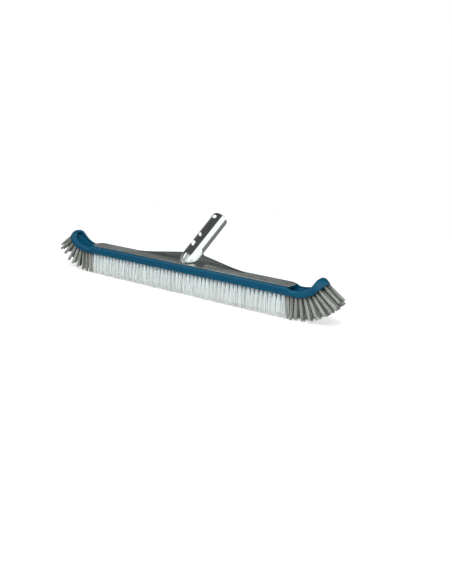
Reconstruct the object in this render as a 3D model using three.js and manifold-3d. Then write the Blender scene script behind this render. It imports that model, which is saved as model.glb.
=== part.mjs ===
// Pool wall brush with curved ends: a moulded head, an aluminium back-and-handle casting,
// a spring clip that locks the handle into a pole, and staple-set tufts.
// Millimetres, +Z up. X runs along the head, +Y is the side the handle leans to.
// The origin is the middle of the scrubbing face, level with the tips of the straight tufts.
import * as THREE from "three";
import { mergeVertices } from "three/addons/utils/BufferGeometryUtils.js";
import Module from "manifold-3d";

const wasm = await Module();
wasm.setup();

// ---------- driving dimensions ----------
const TOUCH = 0.3; // gap left between pieces that touch
const SLOP = 20; // how far a cutting tool runs past the face that it cuts

// moulded head, heights measured from its underside
const HEAD_WIDTH = 34;
const CREST_HEIGHT = 12.8; // rim beside the back plate
const SHOULDER_RISE = 5.3; // rounded shoulder on the outside of the rim
const SHOULDER_WIDTH = 4;
const EDGE_ROUND = 0.8;
const TRAY_RIM_HEIGHT = 9.4; // rim of the open tray past the plate's end
const FLOOR = 4.5; // wall under the tray
const TRAY_RIM_WIDTH = 4.4;
const BEND_START = 226; // where the underside starts to turn up
const BEND_RADIUS = 50;
const BEND_ANGLE = THREE.MathUtils.degToRad(45);
const TIP_RUN = 13; // straight stretch after the bend
const TIP_HEIGHT = 34; // top of the upturned end
const TIP_PLAN_LENGTH = 36; // length of the rounded stretch, seen from above
const TIP_SET_BACK = 8.5; // from the lower corner of the upturned end in to its top
const TIP_BULGE = 1.5; // how far the end's curve stands out past its lower corner
const END_DEPTH = 14.5; // side wall at the end of the bend
const RIM_DIP = 12; // from the tray's start to the lowest place of its rim
const RIM_LEAD = 11; // how softly the rim's curves run into each other
const TRAY_STOP = 3; // wall left at the far end of the tray
const TRAY_EDGE = 3; // rounding along the tray's floor

// back plate of the casting
const PLATE_LENGTH = 421; // its ends lie short of the bends
const PLATE_WIDTH = 26;
const PLATE_THICKNESS = 3.4;
const PLATE_PROUD = 1.4; // how far its top stands above the rim
const PLATE_CORNER = 6;
const PLATE_CHAMFER = 0.5;
const PLATE_OVERHANG = 6.5; // how far its ends reach over the trays

// handle socket of the casting, measured along and across its axis
const SOCKET_TILT = THREE.MathUtils.degToRad(32.3);
const SOCKET_ROOT_Y = 3.2;
const SOCKET_ROOT_RISE = 1.2; // above the plate's top face
const SOCKET_LENGTH = 107; // from the root point to the open end
const SOCKET_RADIUS = 14;
const SOCKET_WALL = 2;
const SOCKET_CHAMFER = 0.5;
const NOSE_START = 4; // centre of the ball that closes the lower end
const BORE_START = 5;

// triangular webs beside the socket
const WEB_THICKNESS = 3;
const WEB_DROP = 3.7; // from the socket's axis down to the web's top face
const WEB_FILLET = 9;
const WEB_HALF_SPAN = 111;
const WEB_FOOT = 4; // along the axis, at the outer end
const WEB_TOP = 23.4; // along the axis, beside the socket

// spring clip
const CLIP_PIVOT = 13; // along the axis
const CLIP_LEG_WIDTH = 8;
const CLIP_LEG_THICKNESS = 2.2;
const CLIP_LEG_PART = 0.6; // from the clip's middle plane to each leg beside the bow
const CLIP_LEG_HEEL = 5; // flat stretch of a leg beside the bow
const CLIP_WALL_GAP = 0.45; // between a leg's edges and the bore
const CLIP_BOW_RADIUS = 4.6;
const CLIP_BOW_THICKNESS = 1.8;
const CLIP_BOW_MOUTH = THREE.MathUtils.degToRad(55); // half of the ring's open angle
const CLIP_BOW_GAP = 0.5;
const CLIP_LEG_SHOULDER = 38; // along the axis, where a leg reaches the bore's wall
const PIN_FROM_END = 10;
const PIN_RADIUS = 3.6;
const PIN_PROUD = 2;
const PIN_CLEARANCE = 0.8;
const PIN_CHAMFER = 0.8;
const LEG_PAST_PIN = 5.5;
const LEG_CHAMFER = 1.5;
const CLIP_ROOTED = 0.5; // how deep the pin and lug are rooted in the leg
const SLOT_CORNER = 1.5;
const LUG = { at: 51, length: 6.4, width: 6.4, proud: 0.4, clearance: 1.1, foot: -CLIP_ROOTED };
const TAB = { at: 29.5, length: 9.5, width: 7, proud: 3, clearance: 1.3, foot: 2.5 };
const KEY_ROUND = 2.4; // edge of the lug and the tab

// screws that hold the plate from below
const SCREW_COUNT = 6;
const SCREW_FROM_END = 20.5; // outermost screw to the plate's end
const SCREW_HEAD_RADIUS = 4.2;
const SCREW_HEAD_HEIGHT = 2.5;
const SCREW_SHANK_RADIUS = 2.1;
const SCREW_CLEARANCE = 0.4;
const SCREW_EDGE = 1.2; // chamfer of the pan head
const SCREW_POINT = 1.5;
const SCREW_SEAT = 3.4; // depth of the counterbore
const BOSS_RADIUS = 4.4;
const BOSS_HEIGHT = 4.2;
const BOSS_ROOF = 1.6; // metal left above the screw's blind hole

// tufts
const TRIM = 38; // free length
const ROWS = [-2, -1, 0, 1, 2];
const ROW_MARGIN = 4.6; // outer row to the head's edge
const TUFT_ROOT = 4.2;
const TUFT_WALL = 0.6; // least plastic beside a tuft
const TUFT_TIP_MERGE = 9; // depth of the stretch where neighbouring tufts meet
const ROW_GAP = 1.2; // between the white rows
const WHITE_PITCH = 8;
const WHITE_MARGIN = 26; // outermost white tuft to the bend
const TUFT_BREAK = 0.3; // gap halfway between two neighbouring columns
const GREY_PITCH = 7.2;
const GREY_MARGIN = 4; // outermost grey tuft to the end of the underside
const GREY_THICKNESS = 4.4;
const GREY_SPLAY = 1.2; // tufts lean a little more than the surface turns

// ---------- dimensions that follow ----------
const HALF_WIDTH = HEAD_WIDTH / 2;
const PLATE_TOP = CREST_HEIGHT + PLATE_PROUD;
const PLATE_BOTTOM = PLATE_TOP - PLATE_THICKNESS;
const SEAT = PLATE_BOTTOM - TOUCH;
const SOCKET_ROOT_Z = PLATE_TOP + SOCKET_ROOT_RISE;
const TRAY_START = PLATE_LENGTH / 2 - PLATE_OVERHANG;
const CAST_UNDERSIDE = CREST_HEIGHT + TOUCH; // lowest the socket and webs come outside the seat
const BORE_RADIUS = SOCKET_RADIUS - SOCKET_WALL;
const BORE_FLOOR = CAST_UNDERSIDE + SOCKET_WALL;
const BEND_LENGTH = BEND_RADIUS * BEND_ANGLE;
const BEND_END = new THREE.Vector2(
  BEND_START + BEND_RADIUS * Math.sin(BEND_ANGLE),
  BEND_RADIUS * (1 - Math.cos(BEND_ANGLE)),
);
const ALONG_TIP = new THREE.Vector2(Math.cos(BEND_ANGLE), Math.sin(BEND_ANGLE));
const OUT_OF_TIP = new THREE.Vector2(ALONG_TIP.y, -ALONG_TIP.x);
const LEG_OUTER = Math.sqrt(BORE_RADIUS ** 2 - (CLIP_LEG_WIDTH / 2) ** 2) - CLIP_WALL_GAP;
const LEG_INNER = LEG_OUTER - CLIP_LEG_THICKNESS;
const PIN_AT = SOCKET_LENGTH - PIN_FROM_END;
const SCREW_REACH = PLATE_LENGTH / 2 - SCREW_FROM_END;
const SCREW_PLACES = Array.from(
  { length: SCREW_COUNT },
  (_, i) => SCREW_REACH * ((2 * i) / (SCREW_COUNT - 1) - 1),
);
const ROW_PITCH = (HEAD_WIDTH - 2 * ROW_MARGIN) / (ROWS.length - 1);
const ROW_THICKNESS = ROW_PITCH - ROW_GAP;
const WHITE_STEPS = Math.floor((BEND_START - WHITE_MARGIN) / WHITE_PITCH);
const GREY_FIRST = WHITE_STEPS * WHITE_PITCH + (WHITE_PITCH + GREY_PITCH) / 2;
const GREY_LAST = BEND_START + BEND_LENGTH + TIP_RUN - GREY_MARGIN;
const GREY_COLUMNS = 1 + Math.floor((GREY_LAST - GREY_FIRST) / GREY_PITCH);

// ---------- materials ----------
const paint = (color, roughness, metalness) =>
  new THREE.MeshStandardMaterial({ color, roughness, metalness });
const BLUE = paint(0x0b5a80, 0.38, 0);
const ALUMINIUM = paint(0xb9bdbb, 0.25, 1);
const STEEL = paint(0xa8abad, 0.35, 1);
const CLIP_WHITE = paint(0xe8ecec, 0.5, 0);
const TUFT_WHITE = paint(0xf0f3f3, 0.6, 0);
const TUFT_GREY = paint(0x8c908c, 0.5, 0);

// ---------- helpers ----------
const head = new THREE.Group();
head.position.z = TRIM;

function solid(geometry) {
  const bare = geometry.index ? geometry.toNonIndexed() : geometry.clone();
  bare.deleteAttribute("normal");
  bare.deleteAttribute("uv");
  const merged = mergeVertices(bare, 1e-4);
  const vertProperties = merged.attributes.position.array;
  const triVerts = new Uint32Array(merged.index.array);
  const made = new wasm.Manifold(new wasm.Mesh({ numProp: 3, vertProperties, triVerts }));
  if (made.volume() > 0) return made;
  triVerts.reverse();
  return new wasm.Manifold(new wasm.Mesh({ numProp: 3, vertProperties, triVerts }));
}

function geometryOf(body) {
  const mesh = body.getMesh();
  const geometry = new THREE.BufferGeometry();
  const positions = new Float32Array(mesh.numVert * 3);
  for (let i = 0; i < mesh.numVert; i++) {
    const start = i * mesh.numProp;
    positions.set(mesh.vertProperties.subarray(start, start + 3), i * 3);
  }
  geometry.setAttribute("position", new THREE.BufferAttribute(positions, 3));
  geometry.setIndex(new THREE.BufferAttribute(mesh.triVerts, 1));
  geometry.computeVertexNormals();
  return geometry;
}

function add(name, geometry, material, parent = head) {
  const mesh = new THREE.Mesh(geometry, material);
  mesh.name = name;
  parent.add(mesh);
  return mesh;
}

// Extrudes an outline drawn in X and Z across the head, centred on Y = 0.
function acrossHead(shape, width, edge = {}) {
  const { thickness = 0, size = 0, steps = 1 } = edge;
  const geometry = new THREE.ExtrudeGeometry(shape, {
    depth: width - 2 * thickness,
    bevelEnabled: thickness > 0,
    bevelThickness: thickness,
    bevelSize: size,
    bevelOffset: -size,
    bevelSegments: steps,
    curveSegments: 12,
  });
  return geometry.translate(0, 0, thickness - width / 2).rotateX(Math.PI / 2);
}

// Extrudes an outline drawn in X and Y upwards from one height to another.
function upwards(shape, from, to, chamfer = 0) {
  const geometry = new THREE.ExtrudeGeometry(shape, {
    depth: to - from - 2 * chamfer,
    bevelEnabled: chamfer > 0,
    bevelThickness: chamfer,
    bevelSize: chamfer,
    bevelOffset: -chamfer,
    bevelSegments: 1,
    curveSegments: 12,
  });
  return geometry.translate(0, 0, from + chamfer);
}

// A turned body about Z from [radius, height] pairs that start and end on the axis.
function turned(profile, segments) {
  const points = profile.map(([radius, height]) => new THREE.Vector2(radius, height));
  return new THREE.LatheGeometry(points, segments).rotateX(Math.PI / 2);
}

function cylinderUp(radius, from, to, x = 0, y = 0, segments = 16) {
  const profile = [[0, from], [radius, from], [radius, to], [0, to]];
  return turned(profile, segments).translate(x, y, 0);
}

function blockBelow(height) {
  const size = 4 * WEB_HALF_SPAN;
  return solid(new THREE.BoxGeometry(size, size, size).translate(0, 0, height - size / 2));
}

function roundedRectangle(length, width, corner) {
  const [x, y] = [length / 2, width / 2];
  const shape = new THREE.Shape();
  shape.moveTo(-x + corner, -y);
  shape.lineTo(x - corner, -y);
  shape.absarc(x - corner, -y + corner, corner, -Math.PI / 2, 0);
  shape.lineTo(x, y - corner);
  shape.absarc(x - corner, y - corner, corner, 0, Math.PI / 2);
  shape.lineTo(-x + corner, y);
  shape.absarc(-x + corner, y - corner, corner, Math.PI / 2, Math.PI);
  shape.lineTo(-x, -y + corner);
  shape.absarc(-x + corner, -y + corner, corner, Math.PI, 1.5 * Math.PI);
  return shape;
}

// Closes a right half outline, which runs up from X = 0 and back to it, with its mirror image.
function mirrored(path, divisions) {
  const same = 0.05;
  const right = path.getPoints(divisions)
    .filter((p, i, all) => i === 0 || p.distanceTo(all[i - 1]) > same);
  const left = right.filter((p) => p.x > same).map((p) => new THREE.Vector2(-p.x, p.y));
  return new THREE.Shape([...right, ...left.reverse()]);
}

// ---------- moulded head ----------
const tipCorner = (run, offset) => BEND_END.clone()
  .addScaledVector(ALONG_TIP, run)
  .addScaledVector(OUT_OF_TIP, offset);

const TIP_BOTTOM = tipCorner(TIP_RUN, 0);
const TIP_CROWN = new THREE.Vector2(TIP_BOTTOM.x - TIP_SET_BACK, TIP_HEIGHT);
const HEAD_HALF_LENGTH = TIP_BOTTOM.x + TIP_BULGE;

// The top of the rim, from the upturned end back to the middle of the head.
function addRim(path) {
  const dip = new THREE.Vector2(TRAY_START + RIM_DIP, TRAY_RIM_HEIGHT);
  const rise = tipCorner(0, -END_DEPTH);
  const before = rise.clone().addScaledVector(ALONG_TIP, -RIM_LEAD / 2);
  const after = rise.clone().addScaledVector(ALONG_TIP, RIM_LEAD / 2);
  const lower = before.clone().addScaledVector(ALONG_TIP, -RIM_LEAD);
  path.bezierCurveTo(
    TIP_CROWN.x - RIM_LEAD, TIP_CROWN.y - TIP_BULGE,
    after.x, after.y,
    before.x, before.y,
  );
  path.bezierCurveTo(lower.x, lower.y, dip.x + RIM_LEAD, dip.y, dip.x, dip.y);
  path.bezierCurveTo(
    dip.x - RIM_DIP / 2, dip.y,
    TRAY_START + RIM_DIP / 2, CREST_HEIGHT,
    TRAY_START, CREST_HEIGHT,
  );
  path.lineTo(0, CREST_HEIGHT);
}

// Side outline of the head.
function headOutline() {
  const path = new THREE.Path();
  path.moveTo(0, 0);
  path.lineTo(BEND_START, 0);
  path.absarc(BEND_START, BEND_RADIUS, BEND_RADIUS, -Math.PI / 2, BEND_ANGLE - Math.PI / 2);
  path.lineTo(TIP_BOTTOM.x, TIP_BOTTOM.y);
  const corner = tipCorner(TIP_RUN + 4 * TIP_BULGE, 0);
  path.bezierCurveTo(
    corner.x, corner.y,
    TIP_CROWN.x + TIP_SET_BACK, TIP_CROWN.y + TIP_BULGE,
    TIP_CROWN.x, TIP_CROWN.y,
  );
  addRim(path);
  return mirrored(path, 7);
}

// All that lies under the rim. Its long edges are rounded to make the rim's shoulders.
function underRim() {
  const path = new THREE.Path();
  path.moveTo(0, -SLOP);
  path.lineTo(HEAD_HALF_LENGTH + SLOP, -SLOP);
  path.lineTo(HEAD_HALF_LENGTH + SLOP, TIP_HEIGHT);
  path.lineTo(TIP_CROWN.x, TIP_CROWN.y);
  addRim(path);
  return mirrored(path, 7);
}

// The head seen from above: straight sides and rounded tips, `inset` inside the outer edge.
function headPlan(inset) {
  const centre = HEAD_HALF_LENGTH - TIP_PLAN_LENGTH;
  const [a, b] = [TIP_PLAN_LENGTH - inset, HALF_WIDTH - inset];
  const shape = new THREE.Shape();
  shape.moveTo(-centre, -b);
  shape.lineTo(centre, -b);
  shape.absellipse(centre, 0, a, b, -Math.PI / 2, Math.PI / 2);
  shape.lineTo(-centre, b);
  shape.absellipse(-centre, 0, a, b, Math.PI / 2, 1.5 * Math.PI);
  return shape;
}

// The space of one open tray, which runs up into the upturned end like a spoon's bowl.
function traySpace(side) {
  const radius = BEND_RADIUS - FLOOR;
  const end = tipCorner(TIP_RUN - TRAY_STOP, -FLOOR);
  const shape = new THREE.Shape();
  shape.moveTo(TRAY_START, FLOOR);
  shape.lineTo(BEND_START, FLOOR);
  shape.absarc(BEND_START, BEND_RADIUS, radius, -Math.PI / 2, BEND_ANGLE - Math.PI / 2);
  shape.lineTo(end.x, end.y);
  shape.lineTo(end.x - SLOP, end.y + SLOP);
  shape.lineTo(TRAY_START, end.y + SLOP);
  const width = HEAD_WIDTH - 2 * TRAY_RIM_WIDTH;
  const edge = { thickness: TRAY_EDGE, size: TRAY_EDGE, steps: 3 };
  const channel = solid(acrossHead(shape, width, edge));
  const plan = solid(upwards(headPlan(TRAY_RIM_WIDTH), 0, TIP_HEIGHT + SLOP));
  const bowl = channel.intersect(plan);
  return side > 0 ? bowl : bowl.mirror([1, 0, 0]);
}

function headMoulding() {
  const crown = solid(acrossHead(underRim(), HEAD_WIDTH, {
    thickness: SHOULDER_WIDTH, size: SHOULDER_RISE, steps: 3,
  }));
  const slab = solid(acrossHead(headOutline(), HEAD_WIDTH, {
    thickness: EDGE_ROUND, size: EDGE_ROUND,
  }));
  const plan = solid(upwards(headPlan(0), -SLOP, TIP_HEIGHT + SLOP));
  const seatOutline = roundedRectangle(
    PLATE_LENGTH + 2 * TOUCH, PLATE_WIDTH + 2 * TOUCH, PLATE_CORNER + TOUCH,
  );
  let body = slab.intersect(crown).intersect(plan);
  body = body.subtract(solid(upwards(seatOutline, SEAT, CREST_HEIGHT + SLOP)));
  body = body.subtract(traySpace(1)).subtract(traySpace(-1));
  for (const x of SCREW_PLACES) {
    const recess = SCREW_HEAD_RADIUS + SCREW_CLEARANCE;
    const shank = SCREW_SHANK_RADIUS + SCREW_CLEARANCE;
    const pocket = BOSS_RADIUS + TOUCH;
    body = body
      .subtract(solid(cylinderUp(recess, -SLOP, SCREW_SEAT, x)))
      .subtract(solid(cylinderUp(shank, -SLOP, SEAT + SLOP, x)))
      .subtract(solid(cylinderUp(pocket, PLATE_BOTTOM - BOSS_HEIGHT - TOUCH, SEAT + 1, x)));
  }
  return geometryOf(body);
}

// ---------- back plate, webs and handle socket, one casting ----------
const AXIS = new THREE.Vector3(0, Math.cos(SOCKET_TILT), Math.sin(SOCKET_TILT));
const UPPER = new THREE.Vector3(0, -Math.sin(SOCKET_TILT), Math.cos(SOCKET_TILT));

// Frame of the socket: its z runs out along the bore and its y points to the upper side.
const socketFrame = new THREE.Matrix4()
  .makeBasis(new THREE.Vector3(-1, 0, 0), UPPER, AXIS)
  .setPosition(0, SOCKET_ROOT_Y, SOCKET_ROOT_Z);

const inSocket = (geometry) => solid(geometry.applyMatrix4(socketFrame));

function socketOutside() {
  const profile = [];
  const steps = 6;
  for (let i = 0; i <= steps; i++) {
    const turn = (i / steps) * (Math.PI / 2);
    const along = NOSE_START - SOCKET_RADIUS * Math.cos(turn);
    profile.push([SOCKET_RADIUS * Math.sin(turn), along]);
  }
  profile.push([SOCKET_RADIUS, SOCKET_LENGTH - SOCKET_CHAMFER]);
  profile.push([SOCKET_RADIUS - SOCKET_CHAMFER, SOCKET_LENGTH]);
  profile.push([0, SOCKET_LENGTH]);
  return inSocket(turned(profile, 40));
}

// Section of both webs across the socket, with a fillet where they run into it.
function webSection() {
  const top = -WEB_DROP;
  const bottom = top - WEB_THICKNESS;
  const centreY = top + WEB_FILLET;
  const reach = SOCKET_RADIUS + WEB_FILLET;
  const centreX = Math.sqrt(reach ** 2 - centreY ** 2);
  const meet = Math.atan2(centreY, centreX);
  const path = new THREE.Path();
  path.moveTo(0, bottom);
  path.lineTo(WEB_HALF_SPAN, bottom);
  path.lineTo(WEB_HALF_SPAN, top);
  path.lineTo(centreX, top);
  path.absarc(centreX, centreY, WEB_FILLET, -Math.PI / 2, meet - Math.PI, true);
  path.lineTo(0, centreY * (SOCKET_RADIUS / reach));
  return { shape: mirrored(path, 8), filletStart: centreX };
}

function webs() {
  const { shape, filletStart } = webSection();
  const run = new THREE.ExtrudeGeometry(shape, {
    depth: 2 * SOCKET_LENGTH, bevelEnabled: false,
  }).translate(0, 0, -SOCKET_LENGTH);
  const triangle = new THREE.Shape([
    new THREE.Vector2(-WEB_HALF_SPAN, -SLOP),
    new THREE.Vector2(WEB_HALF_SPAN, -SLOP),
    new THREE.Vector2(WEB_HALF_SPAN, WEB_FOOT),
    new THREE.Vector2(filletStart, WEB_TOP),
    new THREE.Vector2(-filletStart, WEB_TOP),
    new THREE.Vector2(-WEB_HALF_SPAN, WEB_FOOT),
  ]);
  const plan = acrossHead(triangle, 4 * SOCKET_RADIUS);
  return inSocket(run).intersect(inSocket(plan));
}

// A rounded hole through both walls of the socket, square to its axis.
function crossHole(at, length, width, corner) {
  const outline = roundedRectangle(width, length, corner);
  const hole = new THREE.ExtrudeGeometry(outline, {
    depth: 4 * SOCKET_RADIUS, bevelEnabled: false, curveSegments: 6,
  });
  return inSocket(hole.translate(0, 0, -2 * SOCKET_RADIUS).rotateX(Math.PI / 2).translate(0, 0, at));
}

function casting() {
  const plate = roundedRectangle(PLATE_LENGTH, PLATE_WIDTH, PLATE_CORNER);
  let body = socketOutside().add(webs()).subtract(blockBelow(CAST_UNDERSIDE));
  body = body.add(solid(upwards(plate, PLATE_BOTTOM, PLATE_TOP, PLATE_CHAMFER)));
  for (const x of SCREW_PLACES) {
    const boss = cylinderUp(BOSS_RADIUS, PLATE_BOTTOM - BOSS_HEIGHT, PLATE_BOTTOM + 1, x);
    const hole = cylinderUp(SCREW_SHANK_RADIUS + SCREW_CLEARANCE, -SLOP, PLATE_TOP - BOSS_ROOF, x);
    body = body.add(solid(boss)).subtract(solid(hole));
  }
  const bore = [
    [0, BORE_START], [BORE_RADIUS, BORE_START],
    [BORE_RADIUS, SOCKET_LENGTH + 1], [0, SOCKET_LENGTH + 1],
  ];
  body = body.subtract(inSocket(turned(bore, 40)).subtract(blockBelow(BORE_FLOOR)));
  const pinHole = 2 * (PIN_RADIUS + PIN_CLEARANCE);
  body = body.subtract(crossHole(PIN_AT, pinHole, pinHole, pinHole / 2 - 0.01));
  for (const { at, length, width, clearance } of [LUG, TAB]) {
    const slot = crossHole(at, length + 2 * clearance, width + 2 * clearance, SLOT_CORNER);
    body = body.subtract(slot);
  }
  return geometryOf(body);
}

// ---------- spring clip ----------
// The bow is an open ring, with its mouth towards the socket's open end.
function clipBow() {
  const shape = new THREE.Shape();
  const inner = CLIP_BOW_RADIUS - CLIP_BOW_THICKNESS;
  const far = 2 * Math.PI - CLIP_BOW_MOUTH;
  shape.absarc(0, 0, CLIP_BOW_RADIUS, CLIP_BOW_MOUTH, far);
  shape.absarc(0, 0, inner, far, CLIP_BOW_MOUTH, true);
  const bow = new THREE.ExtrudeGeometry(shape, {
    depth: CLIP_LEG_WIDTH, bevelEnabled: false, curveSegments: 16,
  });
  return bow.translate(0, 0, -CLIP_LEG_WIDTH / 2);
}

// One leg in the (along, outward) plane from the bow to past the pin, with its lug and finger tab.
function clipLeg() {
  const start = CLIP_BOW_RADIUS + CLIP_BOW_GAP;
  const shoulder = CLIP_LEG_SHOULDER - CLIP_PIVOT;
  const end = PIN_AT + LEG_PAST_PIN - CLIP_PIVOT;
  const back = CLIP_LEG_PART + CLIP_LEG_THICKNESS;
  const strip = new THREE.Shape([
    new THREE.Vector2(start, CLIP_LEG_PART),
    new THREE.Vector2(start + CLIP_LEG_HEEL, CLIP_LEG_PART),
    new THREE.Vector2(shoulder, LEG_INNER),
    new THREE.Vector2(end, LEG_INNER),
    new THREE.Vector2(end, LEG_OUTER - LEG_CHAMFER / 2),
    new THREE.Vector2(end - LEG_CHAMFER, LEG_OUTER),
    new THREE.Vector2(shoulder - LEG_CHAMFER, LEG_OUTER),
    new THREE.Vector2(start + CLIP_LEG_HEEL / 2, back + LEG_CHAMFER / 2),
    new THREE.Vector2(start, back),
  ]);
  const across = new THREE.ExtrudeGeometry(strip, { depth: CLIP_LEG_WIDTH, bevelEnabled: false });
  let leg = solid(across.translate(0, 0, -CLIP_LEG_WIDTH / 2));
  for (const { at, length, width, proud, foot } of [LUG, TAB]) {
    const top = SOCKET_RADIUS + proud;
    const low = LEG_INNER - foot;
    const round = Math.min(KEY_ROUND, (top - low) / 2);
    const outline = new THREE.Shape();
    const [left, right] = [at - CLIP_PIVOT - length / 2, at - CLIP_PIVOT + length / 2];
    outline.moveTo(left, low);
    outline.lineTo(right, low);
    outline.lineTo(right, top - round);
    outline.absarc(right - round, top - round, round, 0, Math.PI / 2);
    outline.lineTo(left + round, top);
    outline.absarc(left + round, top - round, round, Math.PI / 2, Math.PI);
    const piece = new THREE.ExtrudeGeometry(outline, {
      depth: width, bevelEnabled: false, curveSegments: 4,
    });
    leg = leg.add(solid(piece.translate(0, 0, -width / 2)));
  }
  const pinTop = SOCKET_RADIUS + PIN_PROUD;
  const pinFoot = LEG_INNER + CLIP_ROOTED;
  const pin = [
    [0, pinFoot], [PIN_RADIUS, pinFoot], [PIN_RADIUS, pinTop - PIN_CHAMFER],
    [PIN_RADIUS - PIN_CHAMFER, pinTop], [0, pinTop],
  ];
  const pinPoints = pin.map(([radius, height]) => new THREE.Vector2(radius, height));
  const pinBody = new THREE.LatheGeometry(pinPoints, 20).translate(PIN_AT - CLIP_PIVOT, 0, 0);
  return geometryOf(leg.add(solid(pinBody)));
}

function addClip() {
  const clip = new THREE.Group();
  clip.applyMatrix4(socketFrame);
  const pivot = new THREE.Group();
  pivot.position.z = CLIP_PIVOT;
  pivot.rotation.y = -Math.PI / 2; // x along the bore, y outward, z across the clip
  clip.add(pivot);
  add("clip_bow", clipBow(), CLIP_WHITE, pivot);
  add("clip_leg_upper", clipLeg(), CLIP_WHITE, pivot);
  const lower = add("clip_leg_lower", clipLeg(), CLIP_WHITE, pivot);
  lower.rotation.x = Math.PI;
  head.add(clip);
}

// ---------- screws ----------
function screw() {
  const top = PLATE_TOP - BOSS_ROOF - TOUCH;
  const seat = SCREW_SEAT - TOUCH;
  const under = seat - SCREW_HEAD_HEIGHT;
  return turned([
    [0, under], [SCREW_HEAD_RADIUS - SCREW_EDGE, under], [SCREW_HEAD_RADIUS, under + SCREW_EDGE],
    [SCREW_HEAD_RADIUS, seat], [SCREW_SHANK_RADIUS, seat],
    [SCREW_SHANK_RADIUS, top - SCREW_POINT], [SCREW_SHANK_RADIUS - SCREW_POINT, top], [0, top],
  ], 20);
}

// ---------- tufts ----------
// Outline of a row of tufts at the given places: slim at the roots, joined at the tips.
function tuftRow(places, pitch, length) {
  const shape = new THREE.Shape();
  const half = TUFT_ROOT / 2;
  const flare = pitch / 2;
  const last = places.length - 1;
  const left = places[0] - flare + TUFT_BREAK;
  const right = places[last] + flare - TUFT_BREAK;
  const merge = -length + TUFT_TIP_MERGE;
  shape.moveTo(left, -length);
  shape.lineTo(right, -length);
  shape.lineTo(right, merge);
  for (let i = last; i >= 0; i--) {
    shape.lineTo(places[i] + half, -TOUCH);
    shape.lineTo(places[i] - half, -TOUCH);
    if (i === 0) break;
    shape.lineTo(places[i] - flare, merge);
    const gap = places[i] - places[i - 1];
    if (gap > 1.5 * pitch) shape.lineTo(places[i - 1] + flare, merge);
  }
  shape.lineTo(left, merge);
  return shape;
}

function addWhiteRows() {
  const all = [];
  for (let i = -WHITE_STEPS; i <= WHITE_STEPS; i++) all.push(i * WHITE_PITCH);
  const clearOfScrews = (x) => SCREW_PLACES.every(
    (place) => Math.abs(place - x) > SCREW_HEAD_RADIUS + SCREW_CLEARANCE + TUFT_ROOT / 2,
  );
  ROWS.forEach((row, i) => {
    const places = row === 0 ? all.filter(clearOfScrews) : all;
    const shape = tuftRow(places, WHITE_PITCH, TRIM);
    const mesh = add(`white_row_${i + 1}`, acrossHead(shape, ROW_THICKNESS), TUFT_WHITE);
    mesh.position.y = row * ROW_PITCH;
  });
}

// Place and lean of a column whose root is `run` along the underside from the middle.
function onUnderside(run) {
  if (run <= BEND_START) return { root: new THREE.Vector2(run, 0), turn: 0 };
  const turn = Math.min((run - BEND_START) / BEND_RADIUS, BEND_ANGLE);
  const past = run - BEND_START - BEND_LENGTH;
  if (past > 0) return { root: tipCorner(past, 0), turn };
  const x = BEND_START + BEND_RADIUS * Math.sin(turn);
  return { root: new THREE.Vector2(x, BEND_RADIUS * (1 - Math.cos(turn))), turn };
}

function addGreyColumns() {
  const centre = HEAD_HALF_LENGTH - TIP_PLAN_LENGTH;
  for (const [side, label] of [[-1, "left"], [1, "right"]]) {
    for (let i = 0; i < GREY_COLUMNS; i++) {
      const { root, turn } = onUnderside(GREY_FIRST + i * GREY_PITCH);
      const past = Math.max(0, root.x - centre) / TIP_PLAN_LENGTH;
      const room = HALF_WIDTH * Math.sqrt(Math.max(0, 1 - past ** 2)) - TUFT_ROOT / 2 - TUFT_WALL;
      const steps = Math.min(ROWS.at(-1), Math.floor(room / (TUFT_ROOT + TUFT_WALL)));
      const pitch = Math.min(ROW_PITCH, room / steps);
      const places = ROWS.filter((row) => Math.abs(row) <= steps).map((row) => row * pitch);
      const shape = tuftRow(places, pitch, TRIM);
      const geometry = acrossHead(shape, GREY_THICKNESS).rotateZ(Math.PI / 2);
      const name = `grey_${label}_${String(i + 1).padStart(2, "0")}`;
      const mesh = add(name, geometry, TUFT_GREY);
      const heel = (GREY_THICKNESS / 2) * Math.sin(turn * (GREY_SPLAY - 1));
      root.add(new THREE.Vector2(Math.sin(turn), -Math.cos(turn)).multiplyScalar(heel));
      mesh.position.set(side * root.x, 0, root.y);
      mesh.rotation.y = -side * turn * GREY_SPLAY;
    }
  }
}

// ---------- the brush ----------
const brush = new THREE.Group();
brush.add(head);
add("brush_head", headMoulding(), BLUE);
add("handle_casting", casting(), ALUMINIUM);
addClip();
SCREW_PLACES.forEach((x, i) => add(`screw_${i + 1}`, screw().translate(x, 0, 0), STEEL));
addWhiteRows();
addGreyColumns();

export default brush;
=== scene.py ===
"""Looks of the pool wall brush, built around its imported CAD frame.

Lengths in the shapes below are millimetres with z = 0 at the underside of the moulded head,
as in the CAD source. Pieces are written in metres in the frame's own axes, where the tips of
the straight tufts are at z = 0.
"""

import math

import bpy
import numpy as np
from mathutils import Matrix, Vector


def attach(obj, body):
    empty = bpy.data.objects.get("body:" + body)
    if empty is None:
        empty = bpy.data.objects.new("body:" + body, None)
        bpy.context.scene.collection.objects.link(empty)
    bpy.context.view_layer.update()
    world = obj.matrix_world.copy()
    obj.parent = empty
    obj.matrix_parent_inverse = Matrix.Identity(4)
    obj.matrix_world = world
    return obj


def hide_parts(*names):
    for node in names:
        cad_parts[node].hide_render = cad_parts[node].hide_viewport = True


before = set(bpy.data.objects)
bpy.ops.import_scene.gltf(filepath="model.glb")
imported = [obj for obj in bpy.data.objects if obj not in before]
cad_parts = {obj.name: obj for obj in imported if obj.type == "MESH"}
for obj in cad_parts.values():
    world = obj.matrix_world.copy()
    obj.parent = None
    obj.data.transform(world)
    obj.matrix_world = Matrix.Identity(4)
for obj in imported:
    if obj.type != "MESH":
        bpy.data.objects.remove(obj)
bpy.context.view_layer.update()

TRIM = 38.0  # free length of the tufts, so also the height of the head's underside
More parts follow.
